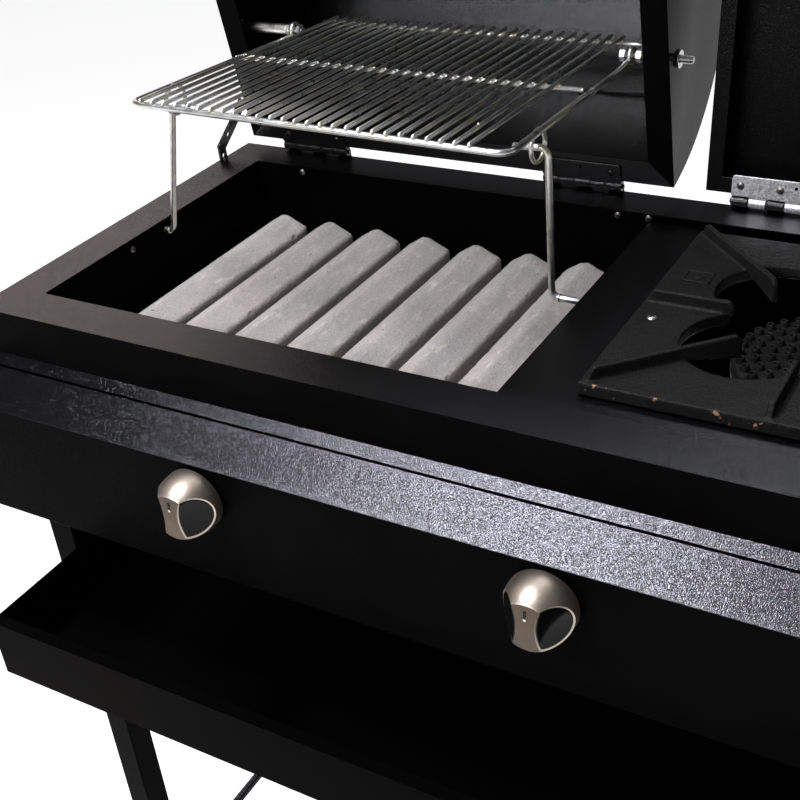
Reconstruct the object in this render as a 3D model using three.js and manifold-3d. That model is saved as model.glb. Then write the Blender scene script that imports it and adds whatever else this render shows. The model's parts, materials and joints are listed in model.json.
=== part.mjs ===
// Two-bay gas barbecue on a four-leg stand: a grill bay with ceramic bars, a swing-up warming rack
// and a half-barrel lid, beside a side-burner bay with a cast pan support and a flat lid.
// Millimetres, +Z up, X along the front, Y to the back. The model is stored with both lids open.
import * as THREE from "three";
import { mergeVertices } from "three/addons/utils/BufferGeometryUtils.js";
import Module from "manifold-3d";

const wasm = await Module();
wasm.setup();

// ---------------------------------------------------------------- driving dimensions
const GAP = 0.3; // clearance between pieces that touch
const SHEET = 2; // folded sheet steel
const RIM_HEIGHT = 900; // rim top above the ground

const BAY_DEPTH = 340; // clear opening, front to back
const GRILL_BAY = 459; // clear width of the grill bay
const TUB_WIDTH = 857; // clear width of both bays
const RIM = 44; // width of the rim flange and height of its skirt
const TUB_BOTTOM = -188; // lower edge of skirt and control panel

const PANEL_FRONT = -92; // face of the control panel
const KNOB_X = [229, 543, 773];
const KNOB_Z = -101;
const KNOB_RADIUS = 28;
const KNOB_DEPTH = 33;
const STEM_RADIUS = 4;
const TUBE_Z = -135; // axis of the grill burner

const LINER_BOTTOM = -180;
const DECK_TOP = -6;
const BAR = { count: 7, first: 40, pitch: 60, width: 50, height: 35, shoulder: 24, front: 14, back: 329, crest: -54 };

const BURNER = { x: 659, y: 169, top: -23, outer: 66, eye: 12, thick: 18 };
const PAN = { size: 284, top: 5, rib: 11, ribWidth: 5, lobeReach: 62, lobeRadius: 51 };

const LEG = { size: 30, wall: 2, inset: 8 };
const TRAY = { front: -164, back: 330, top: -267, bottom: -331, hem: 19 };
const RUNNER_WIDTH = 24;
const LOW_RAIL_Z = -822;

const HINGE_Y = 381; // common axis of both lids
const HINGE_Z = 6;
const KNUCKLE = 5.2;
const HINGE_PIN = 2;
const LEAF = { length: 84, depth: 20, thick: 1.6 };
const GRILL_HINGES = [12, 331];
const SIDE_HINGES = [523, 709];

const LID = { left: -30, right: 468, depth: 400, radius: 200.4, flange: 25, open: 80 };
const FLAT_LID = { left: 498, right: 818, depth: 400, height: 30, flange: 15, open: 97.5 };
const LID_REAR = [-7, -1.5]; // hinge-side corner of a closed lid, from the hinge axis

const LINK = 131; // hinge axis to stud axis, and leg pivot to rack pivot
const LEG_PIVOT = [174, -11]; // y, z of the pivot of the rack legs in the firebox walls
const STUD_RADIUS = 4;
// the rack, with y and z measured from the stud axis; it stands a little higher at the front
const RACK = { left: 45, right: 423, front: -263, level: -6, wire: 3, tilt: 1.7, crossbars: [-94, 56] };
const ROD = { count: 27, first: 58, pitch: 12.77, radius: 2, overhang: 10 };
const HANGER = { outer: 17, inner: 12.8, thick: 4 };

// ---------------------------------------------------------------- shape helpers
function toSolid(geometry) {
  const bare = new THREE.BufferGeometry();
  bare.setAttribute("position", geometry.getAttribute("position"));
  bare.setIndex(geometry.getIndex());
  const merged = mergeVertices(bare, 1e-4);
  return new wasm.Manifold(new wasm.Mesh({
    numProp: 3,
    vertProperties: new Float32Array(merged.getAttribute("position").array),
    triVerts: new Uint32Array(merged.getIndex().array),
  }));
}

function toGeometry(solid) {
  const mesh = solid.getMesh();
  const geometry = new THREE.BufferGeometry();
  geometry.setAttribute("position", new THREE.BufferAttribute(new Float32Array(mesh.vertProperties), 3));
  geometry.setIndex(new THREE.BufferAttribute(new Uint32Array(mesh.triVerts), 1));
  return geometry;
}

const join = (...pieces) => toGeometry(pieces.flat().map(toSolid).reduce((sum, piece) => sum.add(piece)));
const cut = (body, ...tools) =>
  toGeometry(tools.flat().map(toSolid).reduce((rest, tool) => rest.subtract(tool), toSolid(body)));
const overlap = (body, other) => toGeometry(toSolid(body).intersect(toSolid(other)));

function box([x0, x1], [y0, y1], [z0, z1]) {
  const geometry = new THREE.BoxGeometry(x1 - x0, y1 - y0, z1 - z0);
  return geometry.translate((x0 + x1) / 2, (y0 + y1) / 2, (z0 + z1) / 2);
}

// a round bar between two points
function bar(from, to, radius, sides = 12) {
  const start = new THREE.Vector3(...from);
  const axis = new THREE.Vector3(...to).sub(start);
  const geometry = new THREE.CylinderGeometry(radius, radius, axis.length(), sides);
  geometry.applyQuaternion(new THREE.Quaternion().setFromUnitVectors(
    new THREE.Vector3(0, 1, 0), axis.clone().normalize()));
  return geometry.translate(...start.addScaledVector(axis, 0.5).toArray());
}

// a bent wire: bars joined by a ball at each bend
function wire(points, radius, sides = 8) {
  const bars = points.slice(1).map((point, i) => bar(points[i], point, radius, sides));
  const balls = points.slice(1, -1).map(
    (point) => new THREE.SphereGeometry(radius * 1.04, sides, 6).translate(...point));
  return join(bars, balls);
}

// an outline in Y and Z, drawn out along X
function prism(outline, [x0, x1]) {
  const shape = new THREE.Shape(outline.map(([y, z]) => new THREE.Vector2(y, z)));
  const geometry = new THREE.ExtrudeGeometry(shape, { depth: x1 - x0, bevelEnabled: false });
  geometry.applyMatrix4(new THREE.Matrix4().makeBasis(
    new THREE.Vector3(0, 1, 0), new THREE.Vector3(0, 0, 1), new THREE.Vector3(1, 0, 0)));
  return geometry.translate(x0, 0, 0);
}

// an outline in X and Y, drawn out along Z
function slab(outline, [z0, z1]) {
  const shape = new THREE.Shape(outline.map(([x, y]) => new THREE.Vector2(x, y)));
  return new THREE.ExtrudeGeometry(shape, { depth: z1 - z0, bevelEnabled: false }).translate(0, 0, z0);
}

// an open folded sheet: a line in Y and Z given a thickness to its left
function foldedOutline(line, thick) {
  const offset = line.map((point, i) => {
    const before = line[Math.max(i - 1, 0)];
    const after = line[Math.min(i + 1, line.length - 1)];
    const one = new THREE.Vector2(point[0] - before[0], point[1] - before[1]);
    const two = new THREE.Vector2(after[0] - point[0], after[1] - point[1]);
    const a = (one.length() ? one : two).clone().normalize();
    const b = (two.length() ? two : one).clone().normalize();
    const middle = new THREE.Vector2(-(a.y + b.y), a.x + b.x).normalize();
    const reach = thick / (middle.x * -a.y + middle.y * a.x);
    return [point[0] + middle.x * reach, point[1] + middle.y * reach];
  });
  return [...line, ...offset.reverse()];
}

function pieceOf(name, geometry, [color, roughness, metalness], parent) {
  const mesh = new THREE.Mesh(geometry, new THREE.MeshStandardMaterial({ color, roughness, metalness }));
  mesh.name = name;
  parent.add(mesh);
  return mesh;
}

// ---------------------------------------------------------------- finishes
const POWDER = [0x17171a, 0.45, 0.1];
const CAST = [0x141415, 0.6, 0.3];
const ZINC = [0xb9b6ab, 0.3, 1];
const CERAMIC = [0x7f7871, 0.95, 0];
const BRASS = [0xb08d4a, 0.4, 1];
const NICKEL = [0xb5a999, 0.35, 0.9];
const GLOSS = [0x0b0b0c, 0.15, 0];

const barbecue = new THREE.Group();
const OUTER_X = [-RIM, TUB_WIDTH + RIM];
const OUTER_Y = [-RIM, BAY_DEPTH + RIM];

// ---------------------------------------------------------------- rim, skirt and panel
function rimFrame() {
  const top = cut(
    box(OUTER_X, OUTER_Y, [-RIM, 0]),
    box([0, TUB_WIDTH], [0, BAY_DEPTH], [-RIM - 1, 1]),
    box([OUTER_X[0] + SHEET, OUTER_X[1] - SHEET], [OUTER_Y[0] + SHEET, OUTER_Y[1] - SHEET], [-RIM - 1, -SHEET]));
  const flare = prism(foldedOutline([[-54, -50], [-RIM, -RIM + 0.01], [-RIM, -RIM + 4]], -SHEET), OUTER_X);
  return join(top, flare);
}

function tubSkirt() {
  const z = [TUB_BOTTOM, -RIM - GAP];
  const y = [OUTER_Y[0] + SHEET + GAP, OUTER_Y[1]];
  const shell = cut(box(OUTER_X, y, z),
    box([OUTER_X[0] + SHEET, OUTER_X[1] - SHEET], [y[0] - 1, y[1] - SHEET], [z[0] - 1, z[1] + 1]));
  const lip = 12;
  const hem = cut(box(OUTER_X, y, [z[0], z[0] + SHEET]),
    box([OUTER_X[0] + lip, OUTER_X[1] - lip], [y[0] - 1, y[1] - lip], [z[0] - 1, z[1]]));
  const legNotches = [OUTER_X[0] + LEG.inset - GAP, OUTER_X[1] - LEG.inset - LEG.size - GAP].flatMap((x) =>
    [-40, 350].map((y0) => box([x, x + LEG.size + 2 * GAP], [y0 - GAP, y0 + LEG.size + GAP],
      [z[0] - 1, z[0] + SHEET + 1])));
  return cut(join(shell, hem), legNotches);
}

function controlPanel() {
  const face = [
    [PANEL_FRONT + 15, TUB_BOTTOM], [PANEL_FRONT, TUB_BOTTOM], [PANEL_FRONT, -72], [-54.5, -52.5], [-47, -52.5]];
  const sheet = prism(foldedOutline(face, -SHEET), OUTER_X);
  const cheekOutline = [
    [-RIM, TUB_BOTTOM + 1], [PANEL_FRONT + 1, TUB_BOTTOM + 1], [PANEL_FRONT + 1, -73], [-55, -53.5], [-RIM, -53.5]];
  const cheeks = [[OUTER_X[0] + 1, OUTER_X[0] + 1 + SHEET], [OUTER_X[1] - SHEET - 1, OUTER_X[1] - 1]].map(
    (x) => prism(cheekOutline, x));
  const stemHoles = KNOB_X.map((x) =>
    bar([x, PANEL_FRONT - 5, KNOB_Z], [x, PANEL_FRONT + 5, KNOB_Z], STEM_RADIUS + 1.5, 16));
  const pipeHole = bar([OUTER_X[1] - 8, -62, KNOB_Z], [OUTER_X[1] + 8, -62, KNOB_Z], 12, 16);
  return cut(join(sheet, cheeks), stemHoles, pipeHole);
}

pieceOf("rim_frame", rimFrame(), POWDER, barbecue);
pieceOf("tub_skirt", tubSkirt(), POWDER, barbecue);
pieceOf("control_panel", controlPanel(), POWDER, barbecue);

// ---------------------------------------------------------------- grill bay
function fireboxLiner() {
  const x = [-SHEET, GRILL_BAY + SHEET];
  const y = [-SHEET, BAY_DEPTH + SHEET];
  const walls = cut(
    box(x, y, [LINER_BOTTOM, -SHEET - GAP]),
    box([0, GRILL_BAY], [0, BAY_DEPTH], [LINER_BOTTOM + SHEET, 5]),
    box([GRILL_BAY - 1, x[1] + 1], [y[0] - 1, y[1] + 1], [DECK_TOP - SHEET - GAP, 5]));
  const ledgeTop = BAR.crest - BAR.height - GAP - 8 - GAP;
  const ledges = [[-0.5, 18], [BAY_DEPTH - 18, BAY_DEPTH + 0.5]].map(
    (span) => box([-0.5, GRILL_BAY + 0.5], span, [ledgeTop - SHEET, ledgeTop]));
  const pinHoles = [x[0] - 1, GRILL_BAY - 1].map((x0) =>
    bar([x0, ...LEG_PIVOT], [x0 + SHEET + 2, ...LEG_PIVOT], RACK.wire + 0.5, 16));
  const airHoles = [0.25, 0.5, 0.75].map((share) =>
    bar([GRILL_BAY * share, 60, LINER_BOTTOM - 1], [GRILL_BAY * share, 60, LINER_BOTTOM + SHEET + 1], 10, 16));
  const burnerHole = bar([KNOB_X[0], -SHEET - 1, TUBE_Z], [KNOB_X[0], 1, TUBE_Z], 17, 20);
  return cut(join(walls, ledges), pinHoles, airHoles, burnerHole);
}

// one fired-clay bar: a low ridged roof on straight sides
function ceramicBar(x) {
  const half = BAR.width / 2;
  const bottom = BAR.crest - BAR.height;
  const outline = [
    [x - half, bottom], [x + half, bottom], [x + half, bottom + BAR.shoulder - 3],
    [x + half - 2, bottom + BAR.shoulder], [x, BAR.crest], [x - 5, BAR.crest],
    [x - half + 2, bottom + BAR.shoulder], [x - half, bottom + BAR.shoulder - 3]];
  return slab(outline, [0, BAR.back - BAR.front]).rotateX(Math.PI / 2).translate(0, BAR.back, 0);
}

function barSupportGrate() {
  const top = BAR.crest - BAR.height - GAP;
  const across = [5, 110, 220, 327].map((y) => box([2, GRILL_BAY - 2], [y, y + 8], [top - 8, top]));
  const along = [2, 225, GRILL_BAY - 10].map((x) => box([x, x + 8], [5, 335], [top - 7, top - 1]));
  return join(across, along);
}

// burner with two arms, fed by a venturi tube through the front wall
function tubeBurner() {
  const z = TUBE_Z;
  const r = 14;
  const arms = [110, 340];
  const outside = join(
    bar([KNOB_X[0], -36, z], [KNOB_X[0], 45, z], r, 14),
    bar([arms[0] - 10, 45, z], [arms[1] + 10, 45, z], r - 1, 14),
    arms.map((x) => bar([x, 45, z], [x, 300, z], r, 14)));
  const bore = join(
    bar([KNOB_X[0], -37, z], [KNOB_X[0], 45, z], r - SHEET, 8),
    bar([arms[0], 45, z], [arms[1], 45, z], r - SHEET - 1, 8),
    arms.map((x) => bar([x, 44, z], [x, 297, z], r - SHEET, 8)));
  const ports = arms.flatMap((x) => Array.from({ length: 5 }, (_, i) =>
    bar([x, 80 + 50 * i, z], [x, 80 + 50 * i, z + r + 2], 2, 6)));
  return cut(outside, bore, ports);
}

pieceOf("firebox_liner", fireboxLiner(), POWDER, barbecue);
for (let i = 0; i < BAR.count; i += 1) {
  pieceOf(`ceramic_bar_${i + 1}`, ceramicBar(BAR.first + BAR.pitch * i), CERAMIC, barbecue);
}
pieceOf("bar_support_grate", barSupportGrate(), CAST, barbecue);
pieceOf("tube_burner", tubeBurner(), ZINC, barbecue);

// ---------------------------------------------------------------- side-burner bay
function burnerDeck() {
  const plate = box([GRILL_BAY + GAP, TUB_WIDTH - GAP], [GAP, BAY_DEPTH - GAP], [DECK_TOP - SHEET, DECK_TOP]);
  const returns = [[GAP, SHEET + GAP], [BAY_DEPTH - SHEET - GAP, BAY_DEPTH - GAP]].map(
    (y) => box([GRILL_BAY + 4, TUB_WIDTH - GAP], y, [DECK_TOP - 24, DECK_TOP - 1]));
  const opening = new THREE.CylinderGeometry(120, 120, 20, 40).rotateX(Math.PI / 2)
    .translate(BURNER.x, BURNER.y, DECK_TOP);
  return cut(join(plate, returns), opening);
}

function panSupport() {
  const half = PAN.size / 2;
  const bottom = DECK_TOP + GAP;
  const x = [BURNER.x - half, BURNER.x + half];
  const y = [BURNER.y - half, BURNER.y + half];
  const lobes = (grow) => [45, 135, 225, 315].map((degrees) => {
    const a = THREE.MathUtils.degToRad(degrees);
    const lobeX = BURNER.x + PAN.lobeReach * Math.cos(a);
    const lobeY = BURNER.y + PAN.lobeReach * Math.sin(a);
    return bar([lobeX, lobeY, bottom - 2], [lobeX, lobeY, PAN.top + 2], PAN.lobeRadius + grow, 28);
  });
  const centre = bar([BURNER.x, BURNER.y, bottom - 1], [BURNER.x, BURNER.y, PAN.top + 1], 52, 28);
  const slabBody = box(x, y, [bottom, PAN.top]);
  const pocket = cut(box([x[0] + 5, x[1] - 5], [y[0] + 5, y[1] - 5], [bottom - 1, PAN.top - 5]),
    lobes(5));
  const plate = cut(slabBody, pocket, lobes(0), centre);
  const tip = 67;
  const ribs = Array.from({ length: 8 }, (_, i) => {
    const diagonal = i % 2 === 1;
    const outer = diagonal ? half * Math.SQRT2 - 6 : half - 2;
    const dip = diagonal ? PAN.top - 10 : PAN.top - 1;
    const outline = [[tip, dip], [tip, PAN.top + 6], [tip + 4, PAN.top + PAN.rib], [outer - 7, PAN.top + PAN.rib],
      [outer, PAN.top - 1], [116, PAN.top - 1]];
    const width = PAN.ribWidth / 2;
    return prism(outline, [-width, width]).rotateZ(-Math.PI / 2 + (i * Math.PI) / 4)
      .translate(BURNER.x, BURNER.y, 0);
  });
  return join(plate, ribs);
}

function burnerHead() {
  const { x, y, top, outer, eye, thick } = BURNER;
  const disc = bar([x, y, top - thick], [x, y, top], outer, 40);
  return cut(disc, bar([x, y, top - thick - 2], [x, y, top + 2], eye, 20));
}

// casting under the head, fed by the two mixer tubes
function burnerBody() {
  const { x, y, top, outer, thick } = BURNER;
  const z = top - thick - GAP;
  const bowl = cut(bar([x, y, z - 22], [x, y, z], outer - 4, 24), bar([x, y, z - 16], [x, y, z + 2], outer - 12, 24));
  const tubes = [KNOB_X[1], KNOB_X[2]].map((tubeX) => {
    const entry = [x + (tubeX < x ? -32 : 32), y - 42, z - 16];
    return bar([tubeX, -34, z - 60], entry, 13, 12);
  });
  const bores = [KNOB_X[1], KNOB_X[2]].map((tubeX) => {
    const entry = [x + (tubeX < x ? -32 : 32), y - 42, z - 10];
    return bar([tubeX, -36, z - 61], entry, 9, 8);
  });
  return cut(join(bowl, tubes), bores);
}

pieceOf("burner_deck", burnerDeck(), POWDER, barbecue);
pieceOf("pan_support", panSupport(), CAST, barbecue);
pieceOf("burner_head", burnerHead(), CAST, barbecue);
pieceOf("burner_body", burnerBody(), CAST, barbecue);

// ---------------------------------------------------------------- gas train and knobs
const PIPE_Y = -62;
const PIPE_RADIUS = 9;

function gasManifold() {
  const end = OUTER_X[1] + 24;
  const pipe = bar([150, PIPE_Y, KNOB_Z - 24], [OUTER_X[1] - 20, PIPE_Y, KNOB_Z - 24], PIPE_RADIUS, 16);
  const riser = bar([OUTER_X[1] - 24, PIPE_Y, KNOB_Z - 24], [OUTER_X[1] - 24, PIPE_Y, KNOB_Z + 4], PIPE_RADIUS, 16);
  const inlet = bar([OUTER_X[1] - 24, PIPE_Y, KNOB_Z], [end - 14, PIPE_Y, KNOB_Z], PIPE_RADIUS, 16);
  const nut = bar([OUTER_X[1] + 2, PIPE_Y, KNOB_Z], [OUTER_X[1] + 12, PIPE_Y, KNOB_Z], 11, 6);
  const tail = bar([end - 15, PIPE_Y, KNOB_Z], [end, PIPE_Y, KNOB_Z], 5, 12);
  return join(pipe, riser, inlet, nut, tail);
}

function gasValve(x) {
  const seat = KNOB_Z - 24 + PIPE_RADIUS + GAP;
  const body = join(
    bar([x, PANEL_FRONT + SHEET + 1, KNOB_Z], [x, PIPE_Y + 8, KNOB_Z], 11, 12),
    box([x - 8, x + 8], [PIPE_Y - 8, PIPE_Y + 8], [seat, KNOB_Z]),
    bar([x, PIPE_Y + 8, KNOB_Z], [x, PIPE_Y + 20, KNOB_Z], 5, 8));
  return cut(body, bar([x, PANEL_FRONT, KNOB_Z], [x, -70, KNOB_Z], STEM_RADIUS + GAP, 16));
}

const valveStem = (x) =>
  bar([x, PANEL_FRONT - 22, KNOB_Z], [x, -75, KNOB_Z], STEM_RADIUS, 12);

// domed shell with an oval scoop on each side of a central grip
function knobShell(x) {
  const back = PANEL_FRONT - 4;
  const profile = [[0, 0], [KNOB_RADIUS, 0], [KNOB_RADIUS, 6], [KNOB_RADIUS - 1.5, 18], [KNOB_RADIUS - 6, 27],
    [KNOB_RADIUS - 14, KNOB_DEPTH - 5.5], [0, KNOB_DEPTH - 4]];
  const dome = new THREE.LatheGeometry(profile.map((p) => new THREE.Vector2(...p)), 20);
  const hollow = new THREE.CylinderGeometry(19, 19, 28, 24).translate(0, 10, 0);
  const scoops = [-1, 1].map((side) => new THREE.SphereGeometry(1, 14, 8).scale(13, 15, 18)
    .translate(side * 24, 24, 0));
  return cut(dome, hollow, scoops).rotateX(Math.PI).translate(x, back, KNOB_Z);
}

function knobCore(x) {
  const back = PANEL_FRONT - 4;
  const hub = new THREE.CylinderGeometry(18.6, 18.6, 21, 24).translate(0, 12.8, 0);
  const bore = new THREE.CylinderGeometry(STEM_RADIUS + GAP, STEM_RADIUS + GAP, 22, 16).translate(0, 8, 0);
  return cut(hub, bore).rotateX(Math.PI).translate(x, back, KNOB_Z);
}

pieceOf("gas_manifold", gasManifold(), ZINC, barbecue);
KNOB_X.forEach((x, i) => {
  pieceOf(`gas_valve_${i + 1}`, gasValve(x), BRASS, barbecue);
  pieceOf(`valve_stem_${i + 1}`, valveStem(x), BRASS, barbecue);
  pieceOf(`knob_shell_${i + 1}`, knobShell(x), NICKEL, barbecue);
  pieceOf(`knob_core_${i + 1}`, knobCore(x), GLOSS, barbecue);
});

// ---------------------------------------------------------------- stand and drip tray
const LEG_X = { left: OUTER_X[0] + LEG.inset, right: OUTER_X[1] - LEG.inset - LEG.size };
const LEG_Y = { front: -40, rear: 350 };

function standLeg(x, y) {
  const top = -RIM - SHEET;
  const tube = box([x, x + LEG.size], [y, y + LEG.size], [-RIM_HEIGHT, top]);
  const inside = box([x + LEG.wall, x + LEG.size - LEG.wall], [y + LEG.wall, y + LEG.size - LEG.wall],
    [-RIM_HEIGHT + 4, top + 1]);
  return cut(tube, inside);
}

function dripTray() {
  const { front, back, top, bottom, hem } = TRAY;
  const shell = cut(box([0, TUB_WIDTH], [front, back], [bottom, top]),
    box([SHEET, TUB_WIDTH - SHEET], [front + SHEET, back - SHEET], [bottom + SHEET, top + 1]));
  const lip = box([0, TUB_WIDTH], [front, front + 12], [top - SHEET, top]);
  const lowerHem = box([0, TUB_WIDTH], [front + 13, front + 15], [bottom - hem, bottom + 1]);
  return join(shell, lip, lowerHem);
}

function trayRunner(x, inward) {
  const y = [-40, BAY_DEPTH + 40];
  const under = TRAY.bottom - GAP;
  const post = x + inward * SHEET;
  const foot = x + inward * RUNNER_WIDTH;
  const sorted = (a, b) => [Math.min(a, b), Math.max(a, b)];
  return join(box(sorted(x, post), y, [under - SHEET, under + 30]),
    box(sorted(x, foot), y, [under - SHEET, under]));
}

for (const side of ["left", "right"]) {
  for (const end of ["front", "rear"]) {
    pieceOf(`leg_${end}_${side}`, standLeg(LEG_X[side], LEG_Y[end]), POWDER, barbecue);
  }
  const middle = LEG_X[side] + LEG.size / 2;
  const railY = [LEG_Y.front + LEG.size + GAP, LEG_Y.rear - GAP];
  pieceOf(`lower_rail_${side}`,
    bar([middle, railY[0], LOW_RAIL_Z], [middle, railY[1], LOW_RAIL_Z], 5.5, 16), POWDER, barbecue);
}
pieceOf("rear_cross_rail", box([LEG_X.left + LEG.size + GAP, LEG_X.right - GAP], [355, 375], [-500, -480]),
  POWDER, barbecue);
pieceOf("tray_runner_left", trayRunner(LEG_X.left + LEG.size + GAP, 1), POWDER, barbecue);
pieceOf("tray_runner_right", trayRunner(LEG_X.right - GAP, -1), POWDER, barbecue);
pieceOf("drip_tray", dripTray(), POWDER, barbecue);

function lidStopBracket() {
  const strap = foldedOutline([[333, -34], [331, 15], [358, 34], [383, 54]], -12);
  const holes = [[338, -24], [338, 2], [352, 22], [374, 38]].map(([y, z]) =>
    bar([-60, y, z], [-40, y, z], 2.6, 12));
  return cut(prism(strap, [OUTER_X[0] - GAP - 3, OUTER_X[0] - GAP]), holes);
}

pieceOf("lid_stop_bracket", lidStopBracket(), POWDER, barbecue);

// ---------------------------------------------------------------- hinges, lids and rack
// Everything on a lid is drawn with the lid closed, measured from the hinge axis.
// `rolls` is 0 for the fixed leaf, which holds the pin, and 1 for the lid's
function hingeLeaf(x, rolls, plateY, plateZ) {
  const pitch = LEAF.length / 5;
  const places = [0, 1, 2, 3, 4];
  const own = places.filter((i) => i % 2 === rolls);
  const other = places.filter((i) => i % 2 !== rolls);
  const knuckles = own.map((i) => bar([x + pitch * i + GAP, 0, 0], [x + pitch * (i + 1) - GAP, 0, 0], KNUCKLE, 12));
  const notches = other.map((i) =>
    box([x + pitch * i - GAP, x + pitch * (i + 1) + GAP], [-KNUCKLE - 0.5, KNUCKLE + 0.5], [-KNUCKLE - 0.5, 9]));
  const plate = cut(box([x, x + LEAF.length], plateY, plateZ), notches);
  if (rolls === 0) {
    return join(plate, knuckles, bar([x - 1.5, 0, 0], [x + LEAF.length + 1.5, 0, 0], HINGE_PIN, 8));
  }
  return cut(join(plate, knuckles), bar([x - 3, 0, 0], [x + LEAF.length + 3, 0, 0], HINGE_PIN + GAP, 8));
}

const REAR_FACE = OUTER_Y[1] - HINGE_Y; // the rim's rear face, from the hinge axis
const LOWER_LEAF = [[REAR_FACE + GAP, REAR_FACE + GAP + LEAF.thick], [-LEAF.depth - KNUCKLE, 1]];
const UPPER_LEAF = [[-LEAF.depth - KNUCKLE, 0], [LID_REAR[1] - GAP - LEAF.thick, LID_REAR[1] - GAP]];

function lidGroup(openDegrees) {
  const group = new THREE.Group();
  group.position.set(0, HINGE_Y, HINGE_Z);
  group.rotation.x = -THREE.MathUtils.degToRad(openDegrees);
  barbecue.add(group);
  return group;
}

const grillLid = lidGroup(LID.open);
const flatLid = lidGroup(FLAT_LID.open);

[...GRILL_HINGES, ...SIDE_HINGES].forEach((x, i) => {
  const lower = pieceOf(`hinge_${i + 1}_lower_leaf`, hingeLeaf(x, 0, ...LOWER_LEAF), POWDER, barbecue);
  lower.position.set(0, HINGE_Y, HINGE_Z);
  pieceOf(`hinge_${i + 1}_upper_leaf`, hingeLeaf(x, 1, ...UPPER_LEAF), POWDER, i < 2 ? grillLid : flatLid);
});

const LID_CENTRE = [LID_REAR[0] - LID.depth / 2, LID_REAR[1] - Math.sqrt(LID.radius ** 2 - (LID.depth / 2) ** 2)];

// the half-barrel section as a disc segment of a given radius
function barrelSegment(radius, x) {
  const disc = bar([x[0], ...LID_CENTRE], [x[1], ...LID_CENTRE], radius, 72);
  return overlap(disc, box([x[0] - 1, x[1] + 1], [-500, 100], [LID_REAR[1], 400]));
}

function lidBarrel() {
  const x = [LID.left + SHEET + GAP, LID.right - SHEET - GAP];
  const shell = cut(barrelSegment(LID.radius, x), barrelSegment(LID.radius - SHEET, [x[0] - 2, x[1] + 2]));
  const rear = LID_REAR[0];
  const z = [LID_REAR[1], LID_REAR[1] + SHEET];
  const strips = [[rear - LID.flange, rear], [rear - LID.depth, rear - LID.depth + LID.flange]].map(
    (y) => box([LID.left + LID.flange + GAP, LID.right - LID.flange - GAP], y, z));
  return join(shell, strips);
}

function lidEnd(outer, inward) {
  const sorted = (a, b) => [Math.min(a, b), Math.max(a, b)];
  const plate = barrelSegment(LID.radius, sorted(outer, outer + inward * SHEET));
  const rear = LID_REAR[0];
  const flange = box(sorted(outer, outer + inward * LID.flange), [rear - LID.depth + 5, rear - 5],
    [LID_REAR[1], LID_REAR[1] + SHEET]);
  const barrelClear = box(sorted(outer + inward * (SHEET + 0.1), outer + inward * 40), [rear - 5, rear + 9],
    [LID_REAR[1] - 1, 40]);
  const stud = bar([outer - 10, ...STUD_CLOSED], [outer + 10, ...STUD_CLOSED], STUD_RADIUS + GAP, 16);
  return cut(join(plate, flange), barrelClear, stud);
}

// handle: a bar on two posts, square to the lid's surface
function lidHandle(xs, [y, z], degrees) {
  const lift = 38;
  const grip = bar([xs[0] - 25, 0, lift], [xs[1] + 25, 0, lift], 9, 16);
  const posts = xs.map((x) => bar([x, 0, GAP], [x, 0, lift], 6, 12));
  return join(grip, posts).rotateX(THREE.MathUtils.degToRad(degrees)).translate(0, y, z);
}

const OPEN = THREE.MathUtils.degToRad(LID.open);
const STUD_CLOSED = [-LINK * Math.sin(OPEN), LINK * Math.cos(OPEN)];
const HANDLE_TILT = 55;
const tilt = THREE.MathUtils.degToRad(HANDLE_TILT);
const HANDLE_ROOT = [
  LID_CENTRE[0] - (LID.radius + 0.4) * Math.sin(tilt), LID_CENTRE[1] + (LID.radius + 0.4) * Math.cos(tilt)];

pieceOf("lid_barrel", lidBarrel(), POWDER, grillLid);
pieceOf("lid_end_left", lidEnd(LID.left, 1), POWDER, grillLid);
pieceOf("lid_end_right", lidEnd(LID.right, -1), POWDER, grillLid);
pieceOf("lid_handle", lidHandle([140, 298], HANDLE_ROOT, HANDLE_TILT), ZINC, grillLid);

// a stud through the lid's end, with its nuts and a spacer on the inside
function rackStud(from, to, nuts) {
  const at = (x) => [x, ...STUD_CLOSED];
  return join(bar(at(from), at(to), STUD_RADIUS, 12), nuts.map(([a, b, r]) => bar(at(a), at(b), r, r > 7 ? 16 : 6)));
}

pieceOf("rack_stud_left", rackStud(LID.left - 16, RACK.left + 10, [
  [LID.left - 8, LID.left - GAP, 6.5], [LID.left + SHEET + GAP, RACK.left - 4 - GAP, 5.6],
  [RACK.left + 5, RACK.left + 9, 6.5]]), ZINC, grillLid);
pieceOf("rack_stud_right", rackStud(RACK.right - 12, LID.right + 18, [
  [LID.right + GAP, LID.right + 3, 8.5], [LID.right - 9, LID.right - SHEET - GAP, 6.5],
  [RACK.right + 5, RACK.right + 11, 6.5], [RACK.right - 11, RACK.right - 5, 6.5]]), ZINC, grillLid);

function flatLidBox() {
  const rear = LID_REAR[0];
  const { left, right, depth, height, flange } = FLAT_LID;
  const z0 = LID_REAR[1];
  return cut(box([left, right], [rear - depth, rear], [z0, z0 + height]),
    box([left + SHEET, right - SHEET], [rear - depth + SHEET, rear - SHEET], [z0 + SHEET, z0 + height - SHEET]),
    box([left + flange, right - flange], [rear - depth + flange, rear - flange], [z0 - 1, z0 + SHEET + 1]));
}

pieceOf("flat_lid", flatLidBox(), POWDER, flatLid);
pieceOf("flat_lid_handle",
  lidHandle([610, 706], [LID_REAR[0] - FLAT_LID.depth + 45, LID_REAR[1] + FLAT_LID.height], 0), ZINC, flatLid);

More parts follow.
